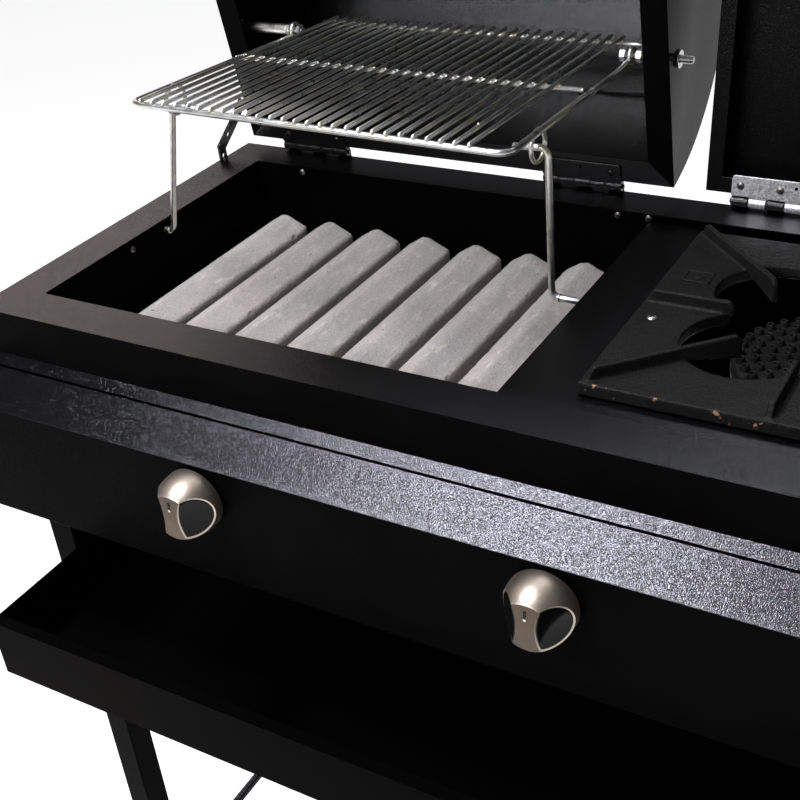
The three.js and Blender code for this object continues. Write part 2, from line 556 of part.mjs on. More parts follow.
// grid of rods on a bent frame, drawn level and measured from the stud axis; two eyes hang it on the lid's
// studs and two rings under it take the legs
function warmingRack() {
  const { left, right, front, level, wire: r } = RACK;
  const corner = 12;
  const frame = wire([
    [left, 0, level], [left, front + corner, level], [left + 4, front + 3, level], [left + corner, front, level],
    [right - corner, front, level], [right - 4, front + 3, level], [right, front + corner, level],
    [right, 0, level]], r, 6);
  const crossbars = RACK.crossbars.map((y) => box([left, right], [y - r, y + r], [level - r, level + r]));
  const rodsEnd = RACK.crossbars[1] + ROD.overhang;
  const rods = Array.from({ length: ROD.count }, (_, i) => {
    const x = ROD.first + ROD.pitch * i;
    return box([x - ROD.radius, x + ROD.radius], [front - r, rodsEnd], [level + r - 0.5, level + r + 3.5]);
  });
  const pivot = new THREE.Vector3(0, LEG_PIVOT[0] - HINGE_Y, LEG_PIVOT[1] - HINGE_Z)
    .applyAxisAngle(new THREE.Vector3(1, 0, 0), THREE.MathUtils.degToRad(RACK.tilt));
  const inside = [[left + r - 0.5, left + r + HANGER.thick], [right - r - HANGER.thick, right - r + 0.5]];
  const hangers = inside.map(([x0, x1]) => cut(
    bar([x0, pivot.y, pivot.z], [x1, pivot.y, pivot.z], HANGER.outer, 18),
    bar([x0 - 1, pivot.y, pivot.z], [x1 + 1, pivot.y, pivot.z], HANGER.inner, 18)));
  const eyes = [left, right].map((x) => bar([x - 4, 0, 0], [x + 4, 0, 0], r + STUD_RADIUS + 1, 16));
  const studHoles = [left, right].map((x) => bar([x - 9, 0, 0], [x + 9, 0, 0], STUD_RADIUS + GAP, 16));
  return cut(join(frame, crossbars, rods, hangers, eyes), studHoles);
}

const rackGroup = new THREE.Group();
rackGroup.position.set(0, HINGE_Y, HINGE_Z + LINK);
rackGroup.rotation.x = -THREE.MathUtils.degToRad(RACK.tilt);
barbecue.add(rackGroup);
pieceOf("warming_rack", warmingRack(), ZINC, rackGroup);

// bent wire legs: the lower end turns out into the firebox wall, the top turns in through the rack's ring
function rackLeg(wall, low, high, tip) {
  const [y, z0] = LEG_PIVOT;
  const z1 = z0 + LINK;
  return wire([[wall, y, z0], [low, y, z0], [high, y, z1], [tip, y, z1]], RACK.wire, 6);
}

pieceOf("rack_leg_left", rackLeg(-10, 10, RACK.left - 8, RACK.left + 27), ZINC, barbecue);
pieceOf("rack_leg_right", rackLeg(GRILL_BAY + 8, RACK.right + 8, RACK.right + 8, RACK.right - 27), ZINC, barbecue);

// ---------------------------------------------------------------- origin under the middle of the object
const bounds = new THREE.Box3().setFromObject(barbecue, true);
const middle = bounds.getCenter(new THREE.Vector3());
barbecue.position.set(-middle.x, -middle.y, -bounds.min.z);
barbecue.updateMatrixWorld(true);

export default barbecue;
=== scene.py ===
"""Looks for a two-bay gas barbecue: materials, and fine pieces in place of the plain ones."""
import json
import math
import random

import bmesh
import bpy
from mathutils import Matrix, Vector, noise


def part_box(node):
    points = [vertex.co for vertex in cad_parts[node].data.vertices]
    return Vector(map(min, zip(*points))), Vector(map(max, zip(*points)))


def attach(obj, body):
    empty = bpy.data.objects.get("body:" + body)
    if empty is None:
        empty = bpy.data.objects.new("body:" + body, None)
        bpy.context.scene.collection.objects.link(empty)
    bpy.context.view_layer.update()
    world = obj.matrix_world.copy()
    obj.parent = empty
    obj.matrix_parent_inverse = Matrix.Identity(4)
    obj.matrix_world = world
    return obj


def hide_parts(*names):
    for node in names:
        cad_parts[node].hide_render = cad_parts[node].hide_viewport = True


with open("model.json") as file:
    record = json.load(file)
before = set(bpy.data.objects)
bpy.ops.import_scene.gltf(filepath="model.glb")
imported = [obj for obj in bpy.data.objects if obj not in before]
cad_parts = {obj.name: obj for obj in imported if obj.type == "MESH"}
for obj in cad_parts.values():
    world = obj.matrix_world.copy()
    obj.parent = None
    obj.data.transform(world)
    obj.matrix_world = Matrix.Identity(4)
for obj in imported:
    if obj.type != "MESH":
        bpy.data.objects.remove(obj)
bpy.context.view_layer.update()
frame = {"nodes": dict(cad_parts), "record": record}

MM = 0.001

# ---------------------------------------- places, in mm from the tub's corner
# The corner is the front left inside corner of the rim's opening, on the rim's top face.
# Pairs are (y, z). LINK is the length of both swinging sides of the rack's linkage.
RIM = 44
BAY_DEPTH = 340
GRILL_BAY = 459
HINGE = (381, 6)
LINK = 131
LEG_PIVOT = (174, -11)
CHIPPED_EDGE = 29.5  # y from which the pan support's front edge is chipped

rim_low, rim_high = (Vector(corner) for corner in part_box("rim_frame"))
CORNER = Vector((rim_low.x + RIM * MM, rim_high.y - (RIM + BAY_DEPTH) * MM, rim_high.z))


def at(x, y, z):
    """The place in metres of a point given in mm from the tub's corner."""
    return CORNER + Vector((x, y, z)) * MM


def corners(node):
    """A node's box in mm from the tub's corner."""
    low, high = (Vector(corner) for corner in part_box(node))
    return (low - CORNER) / MM, (high - CORNER) / MM


# ---------------------------------------- materials
class Surface:
    """A Principled material built up from noise in object space."""

    def __init__(self, name, color, roughness, metallic=0.0, specular=0.5):
        self.material = bpy.data.materials.new(name)
        self.material.use_nodes = True
        self.tree = self.material.node_tree
        self.shader = self.tree.nodes["Principled BSDF"]
        self.shader.inputs["Base Color"].default_value = (*color, 1)
        self.shader.inputs["Roughness"].default_value = roughness
        self.shader.inputs["Metallic"].default_value = metallic
        self.shader.inputs["Specular IOR Level"].default_value = specular
        self.coordinates = self.tree.nodes.new("ShaderNodeTexCoord")
        self.normal = None

    def link(self, output, target):
        self.tree.links.new(output, target)

    def noise(self, scale, detail=3.0, rough=0.55, stretch=(1, 1, 1)):
        mapping = self.tree.nodes.new("ShaderNodeMapping")
        mapping.inputs["Scale"].default_value = stretch
        self.link(self.coordinates.outputs["Object"], mapping.inputs["Vector"])
        node = self.tree.nodes.new("ShaderNodeTexNoise")
        node.inputs["Scale"].default_value = scale
        node.inputs["Detail"].default_value = detail
        node.inputs["Roughness"].default_value = rough
        self.link(mapping.outputs["Vector"], node.inputs["Vector"])
        return node.outputs["Fac"]

    def spread(self, value, low, high, to_low, to_high):
        """Stretches low..high to to_low..to_high and holds the ends."""
        node = self.tree.nodes.new("ShaderNodeMapRange")
        ends = {"From Min": low, "From Max": high, "To Min": to_low, "To Max": to_high}
        for key, number in ends.items():
            node.inputs[key].default_value = number
        self.link(value, node.inputs["Value"])
        return node.outputs["Result"]

    def mask(self, value, low, high):
        """0 below low, 1 above high."""
        return self.spread(value, low, high, 0, 1)

    def component(self, space, axis):
        """One component of a texture coordinate, such as the Z of the object's Normal."""
        node = self.tree.nodes.new("ShaderNodeSeparateXYZ")
        self.link(self.coordinates.outputs[space], node.inputs["Vector"])
        return node.outputs[axis]

    def mix(self, factor, first, second):
        """Blends two colours, each a tuple or an output; the factor may be a plain number."""
        node = self.tree.nodes.new("ShaderNodeMix")
        node.data_type = "RGBA"
        if isinstance(factor, float):
            node.inputs["Factor"].default_value = factor
        else:
            self.link(factor, node.inputs["Factor"])
        for socket, value in ((node.inputs["A"], first), (node.inputs["B"], second)):
            if isinstance(value, tuple):
                socket.default_value = (*value, 1)
            else:
                self.link(value, socket)
        return node.outputs["Result"]

    def product(self, first, second):
        node = self.tree.nodes.new("ShaderNodeMath")
        node.operation = "MULTIPLY"
        self.link(first, node.inputs[0])
        self.link(second, node.inputs[1])
        return node.outputs["Value"]

    def color(self, output):
        self.link(output, self.shader.inputs["Base Color"])

    def roughness(self, value, low, high, top=0.7):
        """Lets a noise move the roughness between low and high."""
        self.link(self.spread(value, 0.3, top, low, high), self.shader.inputs["Roughness"])

    def bump(self, height, strength, distance):
        """Adds a bump on top of those before it; the distance is in metres."""
        node = self.tree.nodes.new("ShaderNodeBump")
        node.inputs["Strength"].default_value = strength
        node.inputs["Distance"].default_value = distance
        self.link(height, node.inputs["Height"])
        if self.normal is not None:
            self.link(self.normal, node.inputs["Normal"])
        self.normal = node.outputs["Normal"]
        self.link(self.normal, self.shader.inputs["Normal"])


def tint(tone, *ratios):
    """A colour made of one tone, with a ratio to it for each channel."""
    return tuple(tone * ratio for ratio in ratios)


def powder_coat(name, painted_sheen=0.0, relief=1.0, roughness=(0.14, 0.21), tone=0.002, specular=0.5):
    """Black powder coat: a fine hard orange peel; with painted_sheen, the faces that look up shine
    with a painted highlight, a metallic tint that stands in for the lights above.
    """
    s = Surface(name, tint(tone, 1, 1, 1.1), 0.2, specular=specular)
    dust_and_painted_sheen = s.mix(s.mask(s.noise(9, 4), 0.35, 0.75), tint(tone, 1, 1, 1.08),
                 tint(tone, 1.9, 1.7, 1.6))
    if painted_sheen:
        # Painted highlight: faces that look up turn metallic in the painted_sheen tint, so they
        # catch the lights above while the upright faces stay black.
        painted_sheen_mask = s.mask(s.component("Normal", "Z"), 0.12, 0.4)
        dust_and_painted_sheen = s.mix(painted_sheen_mask, dust_and_painted_sheen, tint(painted_sheen, 1, 1, 1.1))
        s.link(painted_sheen_mask, s.shader.inputs["Metallic"])
    s.color(dust_and_painted_sheen)
    s.roughness(s.noise(420, 2), *roughness)
    s.bump(s.noise(1000, 1, 0.5), relief, 0.00034)
    s.bump(s.noise(110, 2), 0.04, 0.0006)
    return s.material


def cast_iron(name):
    """Sand-cast iron in satin black, pebbled; primer shows where the front edge is chipped."""
    tone = 0.009
    s = Surface(name, tint(tone, 1, 1, 1), 0.42, specular=0.16)
    chips = s.mask(s.noise(95, 4, 0.65), 0.62, 0.66)
    front = at(0, CHIPPED_EDGE, 0).y
    edge = s.mask(s.component("Object", "Y"), front, front - 1.5 * MM)
    black = s.mix(s.noise(30, 4), tint(tone, 0.7, 0.7, 0.72), tint(tone, 1.8, 1.7, 1.6))
    primer = (0.42, 0.25, 0.15)
    s.color(s.mix(s.product(chips, edge), black, primer))
    s.roughness(s.noise(300, 3), 0.3, 0.55)
    s.bump(s.noise(520, 3, 0.62), 0.85, 0.0011)
    s.bump(s.noise(90, 3), 0.25, 0.002)
    return s.material


def zinc_plate(name, color=(0.82, 0.83, 0.81), roughness=(0.26, 0.38),
               dull=(0.62, 0.63, 0.64)):
    """Bright zinc drawn lengthwise, with faint yellow passivation and duller streaks."""
    s = Surface(name, color, 0.25, metallic=1.0)
    warm = s.mix(s.mask(s.noise(38, 3), 0.45, 0.7), color,
                 (color[0] * 1.05, color[1] * 0.98, color[2] * 0.8))
    streaks = s.noise(120, 3, 0.55, (1, 0.3, 1))
    s.color(s.mix(s.mask(streaks, 0.42, 0.72), warm, dull))
    s.roughness(s.noise(90, 2, 0.5), *roughness)
    s.bump(s.noise(260, 2, 0.5), 0.08, 0.0003)
    return s.material


def fired_clay(name):
    """Fired clay: fine grain, warm and cool blotches, drag marks along the bar, a few dark pits."""
    s = Surface(name, (0.4, 0.37, 0.35), 0.95, specular=0.2)
    blotch = s.mix(s.mask(s.noise(24, 4, 0.6, (1, 0.4, 1)), 0.35, 0.68),
                   (0.33, 0.315, 0.315), (0.52, 0.47, 0.44))
    grain = s.mix(s.mask(s.noise(1000, 2, 0.7), 0.32, 0.7),
                  (0.2, 0.185, 0.18), (0.68, 0.63, 0.6))
    drags = s.mix(s.mask(s.noise(170, 4, 0.6, (1, 0.3, 1)), 0.55, 0.78),
                  s.mix(0.5, blotch, grain), (0.62, 0.57, 0.52))
    pits = s.mask(s.noise(240, 2, 0.4), 0.72, 0.77)
    s.color(s.mix(pits, drags, (0.14, 0.12, 0.11)))
    s.roughness(s.noise(400, 2), 0.85, 1.0)
    s.bump(s.noise(800, 3, 0.7), 0.7, 0.0008)
    s.bump(s.noise(130, 4, 0.6, (1, 0.35, 1)), 0.45, 0.0018)
    return s.material


def satin_metal(name, color, roughness):
    """Plated or machined metal, finely blasted."""
    s = Surface(name, color, 0.3, metallic=1.0)
    s.roughness(s.noise(700, 2), *roughness)
    s.color(s.mix(s.noise(45, 3), color, tint(0.9, *color)))
    s.bump(s.noise(1600, 2), 0.04, 0.0001)
    return s.material


def gloss_plastic(name):
    """Glossy moulded plastic, handled until it is a little uneven."""
    s = Surface(name, (0.004, 0.004, 0.0045), 0.09, specular=0.16)
    s.shader.inputs["Coat Weight"].default_value = 0.05
    s.shader.inputs["Coat Roughness"].default_value = 0.04
    s.roughness(s.noise(300, 3), 0.07, 0.18, 0.75)
    s.bump(s.noise(220, 2), 0.03, 0.0004)
    return s.material


def hammered_silver(name):
    """Silver-grey hammered coat, as on the flat lid's hinges."""
    s = Surface(name, (0.3, 0.3, 0.32), 0.35, metallic=0.85)
    flecks = s.mask(s.noise(520, 3, 0.7), 0.35, 0.65)
    s.color(s.mix(flecks, (0.45, 0.45, 0.48), (1.0, 1.0, 1.0)))
    s.roughness(s.noise(340, 2), 0.34, 0.55)
    s.bump(s.noise(620, 3, 0.6), 0.45, 0.0006)
    return s.material


def soft_rubber(name):
    """Matt black rubber for the foot caps."""
    s = Surface(name, (0.012, 0.012, 0.012), 0.7, specular=0.3)
    s.roughness(s.noise(200, 3), 0.6, 0.8)
    s.bump(s.noise(900, 2), 0.2, 0.0004)
    return s.material


POWDER = powder_coat("black_powder_coat")
# The sheet parts get the painted highlight on the faces that look up.
SHEET_POWDER_PAINTED_SHEEN = powder_coat("black_powder_coat_sheet_painted_sheen", 0.055, specular=0.006)
END_POWDER = powder_coat("black_powder_coat_end", 0.0, 0.12, specular=0.008)
FLAT_POWDER = powder_coat("black_powder_coat_flat_lid", specular=0.12)
# A darker, duller copy of the coat for the inner and lower parts, screw recesses and holes: its
# darker tone is painted shade.
PAINTED_SHADE_POWDER = powder_coat("black_powder_coat_inside_painted_shade", 0.0, 0.5, (0.3, 0.42), 0.0012, 0.006)
CAST = cast_iron("cast_iron")
ZINC = zinc_plate("zinc_wire")
BRIGHT_ZINC = zinc_plate("cut_wire_end", (0.9, 0.89, 0.85), (0.3, 0.45), (0.7, 0.7, 0.68))
STEEL = zinc_plate("burner_steel", (0.3, 0.29, 0.28), (0.35, 0.55), (0.16, 0.15, 0.14))
CLAY = fired_clay("fired_ceramic")
NICKEL = satin_metal("satin_nickel", (0.66, 0.57, 0.48), (0.36, 0.44))
# A dark copy of the nickel for the knobs' front faces: painted shade in place of their bright
# reflection.
NICKEL_PAINTED_SHADE = satin_metal("satin_nickel_face_painted_shade", (0.12, 0.093, 0.073), (0.34, 0.42))
BRASS = satin_metal("valve_brass", (0.55, 0.4, 0.17), (0.3, 0.45))
GLOSS = gloss_plastic("gloss_black")
WHITE_DOT = satin_metal("white_mark", (0.85, 0.85, 0.85), (0.4, 0.5))
SILVER = hammered_silver("bright_hinge")
RUBBER = soft_rubber("soft_rubber")
SLOTS = {
    "black_powder_coat": POWDER, "cast_iron": CAST, "zinc_wire": ZINC, "burner_steel": STEEL,
    "bright_hinge": SILVER, "fired_ceramic": CLAY, "valve_brass": BRASS, "satin_nickel": NICKEL,
    "gloss_black": GLOSS,
}


# ---------------------------------------- mesh building
class Shape:
    """Collects vertices and faces in mm from the tub's corner, each face with a material number."""

    def __init__(self):
        self.vertices = []
        self.faces = []
        self.numbers = []

    def add(self, vertices, faces, number=0):
        start = len(self.vertices)
        self.vertices += [Vector(v) for v in vertices]
        self.faces += [tuple(i + start for i in face) for face in faces]
        self.numbers += [number] * len(faces)

    def rings(self, rings, closed=False, number=0):
        """Skins equal rings of points in order and caps the ends of an open skin."""
        count = len(rings[0])
        vertices = [point for ring in rings for point in ring]
        faces = []
        for i in range(len(rings) if closed else len(rings) - 1):
            a, b = i * count, (i + 1) % len(rings) * count
            faces += [(a + j, a + (j + 1) % count, b + (j + 1) % count, b + j)
                      for j in range(count)]
        if not closed:
            faces.append(tuple(reversed(range(count))))
            faces.append(tuple(range(len(vertices) - count, len(vertices))))
        self.add(vertices, faces, number)

    def tube(self, path, radius, sides, end=0.3):
        """A round bar along a path, its two ends slightly rounded off."""
        path = [Vector(p) for p in path]
        first = path[0] + (path[1] - path[0]).normalized() * radius * end
        last = path[-1] + (path[-2] - path[-1]).normalized() * radius * end
        points = [path[0], first, *path[1:-1], last, path[-1]]
        radii = [radius * (1 - end), *[radius] * (len(points) - 2), radius * (1 - end)]
        tangents = []
        for i, point in enumerate(points):
            before, after = points[max(i - 1, 0)], points[min(i + 1, len(points) - 1)]
            tangents.append((after - before).normalized())
        side = tangents[0].orthogonal().normalized()
        rings = []
        for point, tangent, r in zip(points, tangents, radii):
            side = (side - tangent * side.dot(tangent)).normalized()
            up = tangent.cross(side)
            rings.append([point + (side * math.cos(a) + up * math.sin(a)) * r
                          for a in (2 * math.pi * k / sides for k in range(sides))])
        self.rings(rings)

    def turned(self, base, axis, profile, sides, number=0, spin=0.0):
        """A turned piece: profile is (distance along the axis, radius), end to end."""
        base, axis = Vector(base), Vector(axis).normalized()
        side = axis.orthogonal().normalized()
        up = axis.cross(side)
        rings = []
        for along, radius in profile:
            rings.append([base + axis * along
                          + (side * math.cos(a) + up * math.sin(a)) * max(radius, 0.02)
                          for a in (spin + 2 * math.pi * k / sides for k in range(sides))])
        self.rings(rings, number=number)

    def block(self, low, high, edge):
        """A box with its edges cut at 45 degrees."""
        low, high = Vector(low), Vector(high)
        e = min(edge, *[(high[i] - low[i]) / 2.01 for i in range(3)])
        rings = []
        for z, inset in ((low.z, e), (low.z + e, 0), (high.z - e, 0), (high.z, e)):
            x0, x1, y0, y1 = low.x + inset, high.x - inset, low.y + inset, high.y - inset
            rings.append([(x0 + e, y0, z), (x1 - e, y0, z), (x1, y0 + e, z), (x1, y1 - e, z),
                          (x1 - e, y1, z), (x0 + e, y1, z), (x0, y1 - e, z), (x0, y0 + e, z)])
        self.rings(rings)

    def move(self, matrix):
        self.vertices = [matrix @ v for v in self.vertices]

    def merge(self, other):
        start = len(self.vertices)
        self.vertices += other.vertices
        self.faces += [tuple(i + start for i in face) for face in other.faces]
        self.numbers += other.numbers


def build(name, shape, materials, body, replaced=(), smooth=40):
    """Makes the object from a Shape, hangs it on the body it rides on and hides the CAD nodes it
    replaces.
    """
    mesh = bpy.data.meshes.new(name)
    mesh.from_pydata([at(*v) for v in shape.vertices], [], shape.faces)
    bm = bmesh.new()
    bm.from_mesh(mesh)
    bmesh.ops.recalc_face_normals(bm, faces=bm.faces)
    bm.to_mesh(mesh)
    bm.free()
    mesh.polygons.foreach_set("material_index", shape.numbers)
    for material in materials:
        mesh.materials.append(material)
    mesh.polygons.foreach_set("use_smooth", [True] * len(mesh.polygons))
    mesh.set_sharp_from_angle(angle=math.radians(smooth))
    piece = bpy.data.objects.new(name, mesh)
    bpy.context.scene.collection.objects.link(piece)
    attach(piece, body)
    if replaced:
        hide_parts(*replaced)
    return piece


def apply_modifiers(piece):
    """Makes a piece's modifiers part of its mesh."""
    graph = bpy.context.evaluated_depsgraph_get()
    baked = bpy.data.meshes.new_from_object(piece.evaluated_get(graph))
    piece.modifiers.clear()
    piece.data = baked


def rounded(points, bend, steps=6):
    """A path whose corners are replaced by arcs that start a given distance from each corner."""
    points = [Vector(p) for p in points]
    path = [points[0]]
    for before, corner, after in zip(points, points[1:], points[2:]):
        reach = min(bend, (corner - before).length * 0.49, (after - corner).length * 0.49)
        start = corner + (before - corner).normalized() * reach
        end = corner + (after - corner).normalized() * reach
        for k in range(steps + 1):
            t = k / steps
            path.append(start * (1 - t) ** 2 + corner * 2 * t * (1 - t) + end * t ** 2)
    path.append(points[-1])
    return path


# ---------------------------------------- CAD nodes that stay
def weld_seams(piece):
    """Joins the vertices that the CAD's faces don't share."""
    weld = piece.modifiers.new("weld", "WELD")
    weld.merge_threshold = 0.02 * MM


def soften(node, width, segments=2):
    """Rolls the edges of a carried-over node, with hardened normals beside them, by modifiers only.
    """
    piece = frame["nodes"][node]
    weld_seams(piece)
    bevel = piece.modifiers.new("edge", "BEVEL")
    bevel.width = width * MM
    bevel.segments = segments
    bevel.limit_method = "ANGLE"
    bevel.angle_limit = math.radians(38)
    bevel.harden_normals = True


for entry in frame["record"]["subparts"]:
    node = frame["nodes"][entry["node"]]
    node.data.materials.clear()
    node.data.materials.append(SLOTS[entry["material_slot"]])
LEGS = [f"leg_{end}_{side}" for side in ("left", "right") for end in ("front", "rear")]
RUNNERS = ["tray_runner_left", "tray_runner_right"]
# The inner and lower parts get the darker coat: painted shade.
for inside in ("firebox_liner", "tub_skirt", *RUNNERS, "drip_tray"):
    frame["nodes"][inside].material_slots[0].material = PAINTED_SHADE_POWDER
# These get the coat with the painted highlight on the faces that look up.
for shown in ("rim_frame", "control_panel", "burner_deck", *LEGS, "rear_cross_rail"):
    frame["nodes"][shown].material_slots[0].material = SHEET_POWDER_PAINTED_SHEEN
frame["nodes"]["flat_lid"].material_slots[0].material = FLAT_POWDER
for sheet in ("rim_frame", "control_panel", "drip_tray", "flat_lid"):
    soften(sheet, 1.0)
for sheet in ("burner_deck", "tub_skirt", "firebox_liner", "lid_stop_bracket", *RUNNERS,
              "lid_end_left", "lid_end_right"):
    soften(sheet, 0.5, 1)
for post in (*LEGS, "rear_cross_rail"):
    soften(post, 1.5)


# ---------------------------------------- ceramic bars
BAR_RINGS = 170
FINE_EDGE = 1.8  # the longest stretch between the points of a bar's outline
WORN_END = 4  # how far from each end the bar is rubbed thinner
CHIP_REACH = 3.5  # how far from an edge a chip can start


def ceramic_bar(index):
    """One bar: the CAD outline with worn corners and chips along its edges."""
    low, high = corners(f"ceramic_bar_{index}")
    x = (low.x + high.x) / 2
    bottom, crest = low.z, high.z
    half = (high.x - low.x) / 2
    outline = [(-half, 1), (-half + 1.5, 0), (half - 1.5, 0), (half, 1.5), (half, 20),
               (half - 0.6, 22.4), (half - 2.2, 24.2), (2.5, 33.9), (0, 34.8), (-3.5, 35),
               (-6.5, 34.4), (-half + 3, 24.6), (-half + 0.8, 22.6), (-half, 20)]
    fine = []
    for (x0, z0), (x1, z1) in zip(outline, outline[1:] + outline[:1]):
        parts = max(1, round(math.hypot(x1 - x0, z1 - z0) / FINE_EDGE))
        fine += [(x0 + (x1 - x0) * k / parts, z0 + (z1 - z0) * k / parts)
                 for k in range(parts)]
    edges = [Vector((a, b)) for a, b in ((half, 22), (1, 34.5), (-5, 34.5), (-half, 22))]
    shape = Shape()
    rings = []
    shift = random.Random(40 + index).uniform(0, 90)
    for i in range(BAR_RINGS + 1):
        y = low.y + (high.y - low.y) * i / BAR_RINGS
        to_end = min(y - low.y, high.y - y)
        worn = max(0.0, 1 - to_end / WORN_END)
        ring = []
        for a, b in fine:
            near = min((Vector((a, b)) - edge).length for edge in edges)
            spot = Vector((a * 0.11, y * 0.11, b * 0.11 + shift))
            rough = noise.noise(spot * 3.1) * 0.22 + noise.noise(spot * 9) * 0.16
            hollow = max(0, noise.noise(spot * 1.7 + Vector((7, 3, 1))) - 0.16) * 3.6
            chip = hollow * max(0, 1 - near / CHIP_REACH)
            direction = Vector((a, b - 14))
            direction.normalize()
            pull = direction * (rough - chip - 0.3 - 1.3 * worn ** 2)
            ring.append((x + a + pull.x, y, min(bottom + b + pull.y, crest)))
        rings.append(ring)
    shape.rings(rings)
    build(f"ceramic_bar_{index}_worn", shape, [CLAY], "root", [f"ceramic_bar_{index}"], 50)


for bar_index in range(1, 8):
    ceramic_bar(bar_index)

# ---------------------------------------- warming rack
# y and z are measured from the stud axis, with the rack drawn level. "spring" is how far the
# front left corner has sprung, to the left and up; "hang" is how far each ring hangs off its
# pivot, inward, back and up, because it is loose on the leg.
RACK = {"left": 45, "right": 423, "front": -263, "level": -6, "wire": 3, "tilt": 1.7,
        "bars": (-94, 56), "spring": (4.5, 6), "hang": (2, 2.5, 4.5)}
ROD = {"count": 27, "first": 58, "pitch": 12.77, "radius": 2, "end": 66}
EYE_RADIUS, RING_RADIUS = 6.6, 13.6
STUD = Vector((0, HINGE[0], HINGE[1] + LINK))
RACK_TURN = Matrix.Translation(STUD) @ Matrix.Rotation(-math.radians(RACK["tilt"]), 4, "X")
RACK_PIVOT = RACK_TURN.inverted() @ Vector((0, LEG_PIVOT[0], LEG_PIVOT[1] + LINK))


def sprung(point):
    """Moves a point with the front left corner, which welding has left high and wide."""
    forward = min(max(point.y / RACK["front"], 0), 1)
    leftward = min(max((RACK["right"] - point.x) / (RACK["right"] - RACK["left"]), 0), 1)
    wide, high = RACK["spring"]
    return point + Vector((-wide * leftward ** 8, 0, high * leftward)) * forward


def weld_bead(shape, place, size, seed):
    """A lump of weld metal, lopsided so that no two look alike."""
    rng = random.Random(seed)
    rings = []
    for lift, reach in ((-0.6, 0.9), (-0.1, 1.1), (0.45, 0.95), (0.85, 0.6), (1.0, 0.1)):
        rings.append([(place[0] + math.cos(a) * reach * size * rng.uniform(0.85, 1.15),
                       place[1] + math.sin(a) * reach * size * rng.uniform(0.85, 1.15),
                       place[2] + lift * size)
                      for a in (math.pi * j / 5 for j in range(10))])
    shape.rings(rings)


def wire_ring(shape, centre, radius, half_width, step):
    """A closed ring of wire about an X axis, in steps of some degrees."""
    x, y, z = centre
    rings = []
    for a in (math.radians(d) for d in range(0, 360, step)):
        ring = []
        for b in (math.pi * k / 5 for k in range(10)):
            reach = radius + 2.0 * math.sin(b)
            ring.append((x + half_width * math.cos(b), y + reach * math.cos(a),
                         z + reach * math.sin(a)))
        rings.append(ring)
    shape.rings(rings, closed=True)


def warming_rack():
    """Bent frame, crossbars and rods with bright ends; eyes for the studs, rings for the legs."""
    z = RACK["level"]
    left, right, front, wire = (RACK[key] for key in ("left", "right", "front", "wire"))
    middle, back = RACK["bars"]
    bent, rods, bright = Shape(), Shape(), Shape()
    frame_path = [(left, -6, z), (left, front, z), (right, front, z), (right, middle - 1, z)]
    bent.tube(rounded(frame_path, 15, 10), wire, 16, end=0.1)
    side_path = [(right, middle - 12, z), (right, -30, z + 0.5), (right, -3, z + 4)]
    bent.tube(rounded(side_path, 20, 5), 2.5, 14)
    bright.turned((right, middle - 1.8, z), (0, 1, 0),
                  [(0, 3.05), (0.5, 3.35), (1.6, 3.35), (2.1, 2.9)], 20)
    bent.tube([(left, middle, z), (right - 9, middle, z)], wire - 0.6, 14, end=0.1)
    bent.tube([(left, back, z), (right - 8, back, z)], wire - 0.5, 14, end=0.1)
    bright.turned((right - 9.2, middle, z), (1, 0, 0), [(0, 2.35), (0.5, 2.3), (0.7, 1.8)], 18)
    last_rod = ROD["first"] + ROD["pitch"] * (ROD["count"] - 1)
    bright.tube([(last_rod + 3, back, z), (right - 7.8, back, z)], 2.6, 14)
    rng = random.Random(5)
    for i in range(ROD["count"]):
        x = ROD["first"] + ROD["pitch"] * i
        start = front - rng.uniform(0.6, 2.2)
        finish = ROD["end"] - rng.uniform(0, 1.6)
        level = z + wire + ROD["radius"] - 0.6
        sway = rng.uniform(-0.35, 0.35)
        path = [(x, start, level), (x + sway, (start + finish) / 2, level), (x, finish, level)]
        rods.tube(rounded(path, 90, 4), ROD["radius"], 14)
        weld_bead(bright, (x + rng.uniform(-0.3, 0.3), start + 0.2, level - 0.3), 1.9, i)
        for y in (middle, back):
            weld_bead(bright, (x + 2.1, y - 0.6, z + wire - 1.0), 1.5, 100 + i)
    weld_bead(bright, (last_rod - ROD["pitch"], front + 40, z + 6.6), 1.1, 300)
    for k in range(5):
        weld_bead(bent, (left + 2.4 - k, middle + 4 - 2.6 * k, z + 1.6), 1.8, 310 + k)
    for x, inward in ((left, 1), (right, -1)):
        wire_ring(bent, (x, 0, 0), EYE_RADIUS, 2.6, 15)
        aside, behind, above = RACK["hang"]
        wire_ring(bent, (x + inward * aside, RACK_PIVOT.y + behind, RACK_PIVOT.z + above),
                  RING_RADIUS, 2.0, 12)
    for shape in (bent, rods, bright):
        shape.vertices = [sprung(vertex) for vertex in shape.vertices]
        shape.move(RACK_TURN)
    build("warming_rack_frame", bent, [ZINC], "rack", ["warming_rack"], 50)
    build("warming_rack_rods", rods, [ZINC], "rack", ["warming_rack"], 50)
    build("warming_rack_welds", bright, [BRIGHT_ZINC], "rack", ["warming_rack"], 50)


def rack_leg(side, wall, low, high, tip):
    """A bent wire with a crimped stop beside the firebox wall."""
    y, z = LEG_PIVOT
    top = z + LINK + RACK["hang"][2]
    shape = Shape()
    path = [(wall, y, z), (low, y, z), (high, y, top), (tip, y, top - 1.5)]
    shape.tube(rounded(path, 9, 7), RACK["wire"], 16, end=0.12)
    inward = 1 if tip > high else -1
    shape.turned((low - inward * 6.1, y, z), (1, 0, 0),
                 [(0, 3), (0.3, 3.6), (1.1, 3.8), (1.9, 3.6), (2.2, 3)], 16)
    shape.turned((tip, y, top - 1.5), (inward, 0, 0),
                 [(-0.4, 2.7), (0.05, 2.4), (0.12, 1.2)], 16, 1)
    build(f"rack_leg_{side}_wire", shape, [ZINC, BRIGHT_ZINC], "rack_legs",
          [f"rack_leg_{side}"], 50)


